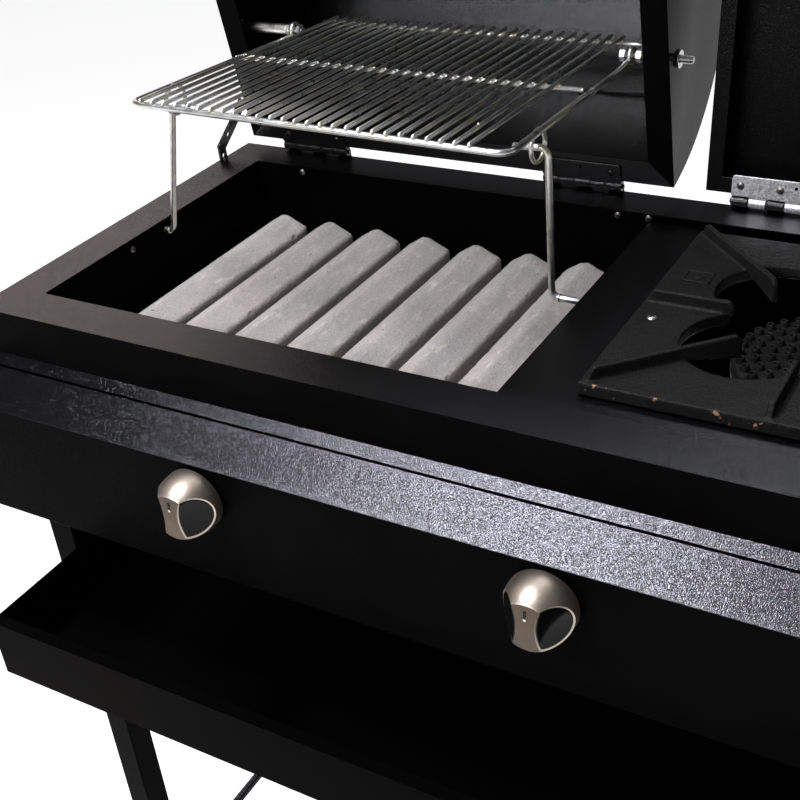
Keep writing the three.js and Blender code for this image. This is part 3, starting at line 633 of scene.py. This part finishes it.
warming_rack()
rack_leg("left", -10, 11, RACK["left"] - 4, RACK["left"] + 27)
rack_leg("right", GRILL_BAY + 8, RACK["right"] + 8, RACK["right"] + 8, RACK["right"] - 23)


def threaded_stud(side, x0, x1, nuts, washers, spacer):
    """An M8 stud: a rolled thread, hexagon nuts, washers and a plain spacer.

    Nuts and spacers are (start, end) along x, washers (start, end, radius).
    """
    y, z = STUD.y, STUD.z
    shape = Shape()
    pitch, radius = 1.25, 3.95
    profile = [(0, radius - 1.1)]
    length = x1 - x0
    for k in range(1, int(length / pitch)):
        profile += [(k * pitch - 0.35, radius - 0.55), (k * pitch, radius)]
    profile.append((length, radius - 1.1))
    shape.turned((x0, y, z), (1, 0, 0), profile, 18)
    for a, b in nuts:
        shape.turned((a, y, z), (1, 0, 0),
                     [(0, 5.6), (0.7, 6.45), (b - a - 0.7, 6.45), (b - a, 5.6)], 6, spin=0.3)
    for a, b, r in washers:
        shape.turned((a, y, z), (1, 0, 0),
                     [(0, r - 0.3), (0.3, r), (b - a - 0.3, r), (b - a, r - 0.3)], 28)
    for a, b in spacer:
        shape.turned((a, y, z), (1, 0, 0),
                     [(0, 4.9), (0.4, 5.5), (b - a - 0.4, 5.5), (b - a, 4.9)], 24)
    build(f"rack_stud_{side}_threaded", shape, [ZINC], "grill_lid", [f"rack_stud_{side}"], 35)


LID = {"left": -30, "right": 468, "depth": 400, "radius": 200.4, "flange": 25, "open": 80,
       "sheet": 1.6}
lid_side, rack_side = LID["left"], RACK["left"]
threaded_stud("left", lid_side - 16, rack_side + 10,
              [(lid_side - 8, lid_side - 1.8), (rack_side - 9, rack_side - 4.3),
               (rack_side + 5, rack_side + 9)],
              [(lid_side - 1.8, lid_side - 0.4, 8), (lid_side + 2.4, lid_side + 4, 7.4)],
              [(lid_side + 4, rack_side - 9)])
lid_side, rack_side = LID["right"], RACK["right"]
threaded_stud("right", rack_side - 12, lid_side + 14,
              [(lid_side - 9, lid_side - 3.6), (rack_side + 5, rack_side + 11),
               (rack_side - 11, rack_side - 5)],
              [(lid_side + 0.4, lid_side + 2, 8.4), (lid_side - 3.6, lid_side - 2.4, 8)], [])


# ---------------------------------------- knobs
# "waist" is half the width left between the two cuts at the front, "cut" their radius,
# "facing" where they look (to the side and forward)
KNOB = {"depth": 33, "waist": 8.0, "cut": 80.0, "facing": (0.85, -0.527)}
KNOB_PROFILE = [(0, 24), (0, 27.6), (1, 28), (8, 28), (14, 27.5), (19, 26.5), (24, 24.9),
                (28, 23.0), (30.6, 21.4), (31.3, 20.6), (31.9, 15), (32.5, 8), (33, 0)]
FORWARD = -0.97  # a face whose normal's y is below this looks out at the front and gets the dark nickel, painted shade


def knob_body(name, body, x, back, z, shrink, proud, material):
    """The domed body less a shallow sphere on each side.

    Shrunk a little and cut less deep (proud), the same shape makes the insets.
    """
    shape = Shape()
    profile = [(max(along - shrink, 0), max(radius - shrink, 0)) for along, radius in KNOB_PROFILE]
    shape.turned((x, back, z), (0, -1, 0), profile, 72)
    piece = build(name, shape, [material], body)
    for sign in (-1, 1):
        side, forward = KNOB["facing"]
        normal = Vector((sign * side, forward, 0)).normalized()
        touch = Vector((x + sign * KNOB["waist"], back - KNOB["depth"] + 2, z))
        tool_mesh = bpy.data.meshes.new("tool")
        bm = bmesh.new()
        bmesh.ops.create_uvsphere(bm, u_segments=160, v_segments=96,
                                  radius=(KNOB["cut"] - proud) * MM)
        bm.to_mesh(tool_mesh)
        bm.free()
        tool_mesh.materials.append(material)
        tool = bpy.data.objects.new("tool", tool_mesh)
        tool.location = at(*(touch + normal * KNOB["cut"]))
        bpy.context.scene.collection.objects.link(tool)
        boolean = piece.modifiers.new("cut", "BOOLEAN")
        boolean.operation, boolean.object, boolean.solver = "DIFFERENCE", tool, "EXACT"
        apply_modifiers(piece)
        bpy.data.objects.remove(tool)
    # The front faces get the dark copy of the nickel: painted shade.
    if material is NICKEL:
        piece.data.materials.append(NICKEL_PAINTED_SHADE)
        for polygon in piece.data.polygons:
            if polygon.normal.y < FORWARD:
                polygon.material_index = len(piece.data.materials) - 1
    piece.data.polygons.foreach_set("use_smooth", [True] * len(piece.data.polygons))
    piece.data.set_sharp_from_angle(angle=math.radians(24))
    return piece


def knob(index, x):
    """A nickel dome cut on each side, with glossy insets, an indicator slot and a white dot."""
    low, high = corners(f"knob_shell_{index}")
    z = (low.z + high.z) / 2
    body = f"knob_{index}"
    shell = knob_body(f"knob_{index}_shell", body, x, high.y, z, 0, 0, NICKEL)
    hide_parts(f"knob_shell_{index}")
    inset = knob_body(f"knob_{index}_insets", body, x, high.y, z, 1.0, 0.8, GLOSS)
    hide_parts(f"knob_core_{index}")
    mark = Shape()
    face = high.y - KNOB["depth"] + 0.55
    mark.block((x - 1.0, face - 0.15, z + 9.5), (x + 1.0, face + 0.8, z + 15.5), 0.1)
    dot = [(-0.6, 1.15), (0.1, 1.15), (0.3, 0.7)]
    mark.turned((x, face - 0.1, z + 8.2), (0, -1, 0), dot, 20, 1)
    build(f"knob_{index}_mark", mark, [GLOSS, WHITE_DOT], body)


KNOBS_AT = (229, 543, 773)
for knob_index, knob_x in enumerate(KNOBS_AT, 1):
    knob(knob_index, knob_x)


# ---------------------------------------- grill lid
def open_lid(degrees):
    """The turn that takes a closed lid to its open, photographed place."""
    axis = Matrix.Translation((0, HINGE[0], HINGE[1]))
    return axis @ Matrix.Rotation(-math.radians(degrees), 4, "X")


# (y, z) from the hinge line, with the lid closed
LID_REAR = (-7, -1.5)
LID_RISE = math.sqrt(LID["radius"] ** 2 - (LID["depth"] / 2) ** 2)
LID_CENTRE = (LID_REAR[0] - LID["depth"] / 2, LID_REAR[1] - LID_RISE)


def lid_arc(radius, steps):
    """The closed barrel's curve from its front edge to its rear one, as (y, z)."""
    half = math.atan2(LID["depth"] / 2, LID_RISE)
    angles = [-half + 2 * half * k / steps for k in range(steps + 1)]
    return [(LID_CENTRE[0] + radius * math.sin(a), LID_CENTRE[1] + radius * math.cos(a))
            for a in angles]


def lid_barrel():
    """The rolled sheet with a folded flange along each straight edge, mitred at the corners."""
    x0, x1 = LID["left"] + 2.3, LID["right"] - 2.3
    outer = lid_arc(LID["radius"], 120)
    inner = lid_arc(LID["radius"] - LID["sheet"], 120)
    shape = Shape()
    shape.rings([[(x0, *a), (x1, *a), (x1, *b), (x0, *b)] for a, b in zip(outer, inner)])
    z0, z1 = LID_REAR[1], LID_REAR[1] + LID["sheet"]
    flange = LID["flange"]
    for edge, inward in ((LID_REAR[0], -1), (LID_REAR[0] - LID["depth"], 1)):
        rim = edge + inward * 0.4
        tip = edge + inward * flange
        rings = []
        for z in (z0, z1):
            rings.append([(LID["left"] + 1, rim, z), (LID["right"] - 1, rim, z),
                          (LID["right"] - flange, tip, z), (LID["left"] + flange, tip, z)])
        shape.rings(rings)
    shape.move(open_lid(LID["open"]))
    build("lid_barrel_rolled", shape, [POWDER], "grill_lid", ["lid_barrel"], 50)


def lid_end(side, outer, inward):
    """A flat end with its folded flange and a rolled joint to the barrel."""
    rim = lid_arc(LID["radius"], 96)
    shape = Shape()
    rings = []
    for x, scale in ((outer, 0.996), (outer + inward * 0.4, 1.0), (outer + inward * 1.9, 1.0)):
        rings.append([(x, LID_CENTRE[0] + (y - LID_CENTRE[0]) * scale,
                       LID_CENTRE[1] + (z - LID_CENTRE[1]) * scale) for y, z in rim])
    shape.rings(rings)
    z0, z1 = LID_REAR[1], LID_REAR[1] + LID["sheet"]
    rear, front, flange = LID_REAR[0], LID_REAR[0] - LID["depth"], LID["flange"]
    rings = []
    for z in (z0, z1):
        rings.append([(outer + inward * 0.4, front + 1, z), (outer + inward * 0.4, rear - 1, z),
                      (outer + inward * flange, rear - flange - 0.4, z),
                      (outer + inward * flange, front + flange + 0.4, z)])
    shape.rings(rings)
    shape.move(open_lid(LID["open"]))
    build(f"lid_end_{side}_plate", shape, [END_POWDER], "grill_lid", [f"lid_end_{side}"], 40)


def bar_handle(name, node, body, xs, root, tilt, turn):
    """A round grip with domed ends on two waisted posts, which stand at xs."""
    lift = 38  # from the sheet to the grip's middle
    past = 25  # from a post to the grip's end
    length = xs[1] - xs[0] + 2 * past
    dome = [(0, 4), (1.2, 7.2), (3.2, 8.8), (6, 9)]
    shape = Shape()
    shape.turned((xs[0] - past, 0, lift), (1, 0, 0),
                 dome + [(length - along, radius) for along, radius in reversed(dome)], 36)
    for x in xs:
        shape.turned((x, 0, 0.4), (0, 0, 1),
                     [(0, 9), (1.5, 9), (3, 6.4), (16, 5.4), (lift - 6, 6.2)], 28, 1)
    place = Matrix.Translation((0, *root)) @ Matrix.Rotation(math.radians(tilt), 4, "X")
    shape.move(turn @ place)
    build(name, shape, [ZINC, POWDER], body, [node], 40)


lid_barrel()
lid_end("left", LID["left"], 1)
lid_end("right", LID["right"], -1)
HANDLE_TILT = 55  # the closed lid's handle stands off the barrel at this slope
handle_angle = math.radians(HANDLE_TILT)
handle_reach = LID["radius"] + 0.4
bar_handle("lid_handle_grip", "lid_handle", "grill_lid", (140, 298),
           (LID_CENTRE[0] - handle_reach * math.sin(handle_angle),
            LID_CENTRE[1] + handle_reach * math.cos(handle_angle)),
           HANDLE_TILT, open_lid(LID["open"]))
FLAT_LID = {"depth": 400, "height": 30, "open": 97.5}
bar_handle("flat_lid_handle_grip", "flat_lid_handle", "flat_lid", (610, 706),
           (LID_REAR[0] - FLAT_LID["depth"] + 45, LID_REAR[1] + FLAT_LID["height"]),
           0, open_lid(FLAT_LID["open"]))


# ---------------------------------------- screws and hinges
def screw(shape, place, normal, radius, metal=0, dark=1, turn=0.4):
    """A pan-head screw with a cross recess, drawn in the dark material as painted shade; metal and
    dark are material numbers.
    """
    place, normal = Vector(place), Vector(normal).normalized()
    head = [(-1.2, 0.6), (0, 0.96), (0.5, 1), (1.2, 0.86), (1.9, 0.55), (2.1, 0.16)]
    shape.turned(place, normal, [(along, radius * share) for along, share in head], 22, metal)
    side = normal.orthogonal().normalized()
    side = Matrix.Rotation(turn, 3, normal) @ side
    other = normal.cross(side)
    # The recess is two thin bars of the dark material at the head's top: painted shade.
    for a, b in ((side, other), (other, side)):
        long, short = a * radius * 0.46, b * radius * 0.12
        base = place + normal * 1.75
        top = place + normal * 2.16
        ring = [long + short, long - short, -long - short, -long + short]
        shape.rings([[base + r for r in ring], [top + r for r in ring]], number=dark)


LEAF = {"length": 84, "depth": 20, "thick": 1.6}
KNUCKLE = 5.2


def hinge_leaf(name, node, body, x, first_knuckle, z0, material, turn, pin):
    """One leaf: rounded corners, every other one of five rolled knuckles, screws and a hole drawn
    as a dark disc, painted shade.
    """
    shape = Shape()
    length, depth, thick = LEAF["length"], LEAF["depth"] + KNUCKLE, LEAF["thick"]
    rings = []
    for z, inset in ((z0, 0.3), (z0 + 0.3, 0), (z0 + thick - 0.3, 0), (z0 + thick, 0.3)):
        ring = []
        for cx, cy, start in (
                (x + length - 3, -depth + 3, 270), (x + length - 0.1, -KNUCKLE - 0.6, 0),
                (x + 0.1, -KNUCKLE - 0.6, 90), (x + 3, -depth + 3, 180)):
            r = 3 if cy < -KNUCKLE - 2 else 0.1
            for k in range(5):
                a = math.radians(start + 22.5 * k)
                ring.append((cx + (r - inset) * math.cos(a), cy + (r - inset) * math.sin(a), z))
        rings.append(ring)
    shape.rings(rings)
    pitch = length / 5
    for i in range(first_knuckle, 5, 2):
        a, b = x + pitch * i + 0.35, x + pitch * (i + 1) - 0.35
        shape.turned((a, 0, 0), (1, 0, 0),
                     [(0, KNUCKLE - 0.5), (0.5, KNUCKLE), (b - a - 0.5, KNUCKLE),
                      (b - a, KNUCKLE - 0.5)], 28)
        shape.block((a, -KNUCKLE - 1.2, z0), (b, -0.6, z0 + thick), 0.1)
    if pin:
        shape.turned((x - 1.5, 0, 0), (1, 0, 0),
                     [(0, 1.6), (0.5, 2.3), (length + 2.5, 2.3), (length + 3, 1.6)], 16)
    screws, hole = ((0.1, 0.54, 0.91), 0.71) if material is SILVER else ((0.12, 0.88), 0.5)
    for share in screws:
        screw(shape, (x + length * share, -depth * 0.62, z0 + 0.4), (0, 0, -1), 3.7, 2, 1,
              share * 3)
    # The hole is a thin disc of the dark material on the leaf's face, not cut through: painted
    # shade.
    shape.turned((x + length * hole, -depth * 0.75, z0 + 0.2), (0, 0, -1),
                 [(0, 1.5), (0.3, 1.5)], 16, 1)
    shape.move(turn)
    head = STEEL if material is SILVER else POWDER
    build(name, shape, [material, PAINTED_SHADE_POWDER, head], body, [node], 35)


HINGES_AT = (12, 331, 523, 709)  # the first two carry the grill lid
REAR_FACE = RIM + BAY_DEPTH - HINGE[0]
upright = Matrix.Translation((0, HINGE[0], HINGE[1])) @ Matrix.Rotation(math.pi / 2, 4, "X")
for hinge_index, hinge_x in enumerate(HINGES_AT, 1):
    lid, coat, opened = (("grill_lid", POWDER, LID["open"]) if hinge_index < 3
                         else ("flat_lid", SILVER, FLAT_LID["open"]))
    hinge_leaf(f"hinge_{hinge_index}_lower", f"hinge_{hinge_index}_lower_leaf", "root", hinge_x,
               0, -REAR_FACE - 0.3 - LEAF["thick"], POWDER, upright, True)
    hinge_leaf(f"hinge_{hinge_index}_upper", f"hinge_{hinge_index}_upper_leaf", lid, hinge_x,
               1, LID_REAR[1] - 0.3 - LEAF["thick"], coat, open_lid(opened), False)

wall_screws = Shape()
screw(wall_screws, (0.2, 122, -10.5), (1, 0, 0), 3.4)
for x, z in ((60, -6), (426, -5.5), (457, -4.5)):
    screw(wall_screws, (x, BAY_DEPTH - 0.2, z), (0, -1, 0), 3.4)
build("tub_screws", wall_screws, [STEEL, PAINTED_SHADE_POWDER], "root")


# ---------------------------------------- side burner
BURNER = {"x": 659, "y": 169, "top": -23, "outer": 66, "eye": 12}
NUB_ROWS = ((23, 11, 0), (35, 17, 0.5), (47, 23, 0), (58.5, 29, 0.5))  # radius, count, stagger


def cast_skin(node, voxel, relief):
    """Gives a casting rounded edges and a slightly uneven skin, by modifiers only."""
    piece = frame["nodes"][node]
    weld_seams(piece)
    remesh = piece.modifiers.new("skin", "REMESH")
    remesh.mode = "VOXEL"
    remesh.voxel_size = voxel * MM
    remesh.use_smooth_shade = True
    smooth = piece.modifiers.new("round", "SMOOTH")
    smooth.factor = 0.5
    smooth.iterations = 2
    texture = bpy.data.textures.new(f"{node}_relief", "CLOUDS")
    texture.noise_scale = 0.006
    displace = piece.modifiers.new("relief", "DISPLACE")
    displace.texture = texture
    displace.strength = relief * MM
    displace.mid_level = 0.5


cast_skin("pan_support", 1.3, 0.35)


def burner_head():
    """A round cap with rows of small hollow nubs about an open eye."""
    x, y, top = BURNER["x"], BURNER["y"], BURNER["top"]
    eye, outer = BURNER["eye"], BURNER["outer"]
    shape = Shape()
    profile = [(eye, 0.5), (eye + 0.6, 0), (outer - 3, 0), (outer - 1, 1.5), (outer, 9),
               (outer - 1, 15.5), (outer - 3.5, 17.8), (outer - 7, 18), (eye + 7, 18),
               (eye + 3, 17), (eye, 14.5)]
    rings = []
    for k in range(96):
        a = 2 * math.pi * k / 96
        rings.append([(x + r * math.cos(a), y + r * math.sin(a), top - 18 + h) for r, h in profile])
    shape.rings(rings, closed=True)
    nub = [(0, 4.2), (2.2, 3.7), (4.6, 3.5), (5.4, 3.0), (5.5, 2.2), (5.1, 1.6), (2.2, 1.3)]
    for radius, count, stagger in NUB_ROWS:
        for k in range(count):
            a = 2 * math.pi * (k + stagger) / count
            base = (x + radius * math.cos(a), y + radius * math.sin(a), top - 0.6)
            shape.turned(base, (0, 0, 1), nub, 14)
    build("burner_head_casting", shape, [CAST], "root", ["burner_head"], 42)


burner_head()
deck_screws = Shape()
for x in (BURNER["x"] - 125, BURNER["x"] + 125):
    screw(deck_screws, (x, 140, 5.1), (0, 0, 1), 4.6)
build("pan_support_screws", deck_screws, [ZINC, PAINTED_SHADE_POWDER], "root")


MARK = {"at": (545, 221, 4.6), "height": 1.4}


def casting_mark():
    """A plain raised diamond in a square frame."""
    shape = Shape()
    x, y, z = MARK["at"]
    height = MARK["height"]
    for dx, dy, w, h in ((0, 9, 12, 1), (0, -9, 12, 1), (-11, 0, 1, 10), (11, 0, 1, 10)):
        shape.block((x + dx - w, y + dy - h, z), (x + dx + w, y + dy + h, z + height), 0.5)
    diamond = Shape()
    diamond.block((-4, -4, 0), (4, 4, height), 0.6)
    diamond.move(Matrix.Translation((x, y, z)) @ Matrix.Rotation(math.radians(45), 4, "Z"))
    shape.merge(diamond)
    build("casting_mark", shape, [CAST], "root")


casting_mark()

# ---------------------------------------- stand
CAP = {"wall": 1.6, "height": 24}
feet = Shape()
for leg in LEGS:
    low, high = corners(leg)
    feet.block((low.x - CAP["wall"], low.y - CAP["wall"], low.z),
               (high.x + CAP["wall"], high.y + CAP["wall"], low.z + CAP["height"]), 1.4)
build("foot_caps", feet, [RUBBER], "root")

for side in ("left", "right"):
    low, high = corners(f"lower_rail_{side}")
    rail = Shape()
    x, z = (low.x + high.x) / 2, (low.z + high.z) / 2
    rail.tube([(x, low.y, z), (x, high.y, z)], 5.5, 28, end=0.05)
    build(f"lower_rail_{side}_round", rail, [SHEET_POWDER_PAINTED_SHEEN], "root", [f"lower_rail_{side}"], 40)

# ---------------------------------------- floor, lights, camera
FLOOR_REACH = 30  # metres


def stage_floor():
    """A pale floor that glows a little, as a lit white backdrop does."""
    mesh = bpy.data.meshes.new("floor")
    r = FLOOR_REACH
    mesh.from_pydata([(-r, -r, 0), (r, -r, 0), (r, r, 0), (-r, r, 0)], [], [(0, 1, 2, 3)])
    s = Surface("pale_floor", (0.6, 0.6, 0.6), 0.9, specular=0.1)
    s.roughness(s.noise(3, 2), 0.85, 0.95)
    s.shader.inputs["Emission Color"].default_value = (1, 1, 1, 1)
    s.shader.inputs["Emission Strength"].default_value = 0.85
    mesh.materials.append(s.material)
    floor = bpy.data.objects.new("floor", mesh)
    bpy.context.scene.collection.objects.link(floor)


def area_light(name, place, target, size, radiance, color):
    """A softbox; radiance is the brightness of its face, whatever its size."""
    data = bpy.data.lights.new(name, "AREA")
    data.shape = "RECTANGLE"
    data.size, data.size_y = size
    data.energy = radiance * math.pi * size[0] * size[1]
    data.color = color
    light = bpy.data.objects.new(name, data)
    light.location = place
    light.rotation_euler = (Vector(target) - Vector(place)).to_track_quat("-Z", "Y").to_euler()
    bpy.context.scene.collection.objects.link(light)
    return light


stage_floor()
COOL, NEUTRAL, WARM = (0.95, 0.95, 1.0), (1.0, 0.99, 0.98), (1.0, 0.84, 0.8)
# place and target in mm from the tub's corner, size in m, radiance, colour
area_light("overhead", at(-200, -300, 1950), at(-200, -300, 0), (0.4, 0.6), 60, COOL)
fill = area_light("fill", at(250, 50, 950), at(250, 100, 0), (0.9, 0.6), 0.5, NEUTRAL)
fill.visible_glossy = False  # it lifts the bars and leaves no highlight on the panel
area_light("front", at(-200, -1700, 1250), at(300, 300, 250), (1.1, 0.5), 14, COOL)
area_light("left_card", at(-2000, 1500, 1000), at(0, 100, 0), (1.6, 0.9), 1.65, WARM)
area_light("rear_high", at(300, 1900, 2300), at(230, 0, 131), (1.5, 0.5), 7, (0.97, 0.98, 1.0))
area_light("low_warm", at(-250, -400, -880), at(200, -150, -100), (0.7, 0.5), 0.35,
           (1.0, 0.62, 0.36))

world = bpy.data.worlds.new("studio")
world.use_nodes = True
background = world.node_tree.nodes["Background"]
background.inputs["Color"].default_value = (*COOL, 1)
background.inputs["Strength"].default_value = 0.1
bpy.context.scene.world = world
bpy.context.scene.view_settings.view_transform = "Standard"

# The camera that the photo's perspective gives: its place, its lens and two of its axes
CAMERA_AT = (839, -711, 498)
CAMERA_LENS = 56.47
CAMERA_RIGHT = Vector((0.8637, 0.4964, -0.0881))
CAMERA_DOWN = Vector((0.1988, -0.4959, -0.8454))
camera_data = bpy.data.cameras.new("camera")
camera_data.lens = CAMERA_LENS
camera_data.sensor_width = 36
camera = bpy.data.objects.new("camera", camera_data)
right = CAMERA_RIGHT.normalized()
up = -(CAMERA_DOWN - right * CAMERA_DOWN.dot(right)).normalized()
axes = Matrix((right, up, right.cross(up))).transposed().to_4x4()
camera.matrix_world = Matrix.Translation(at(*CAMERA_AT)) @ axes
bpy.context.scene.collection.objects.link(camera)
bpy.context.scene.camera = camera
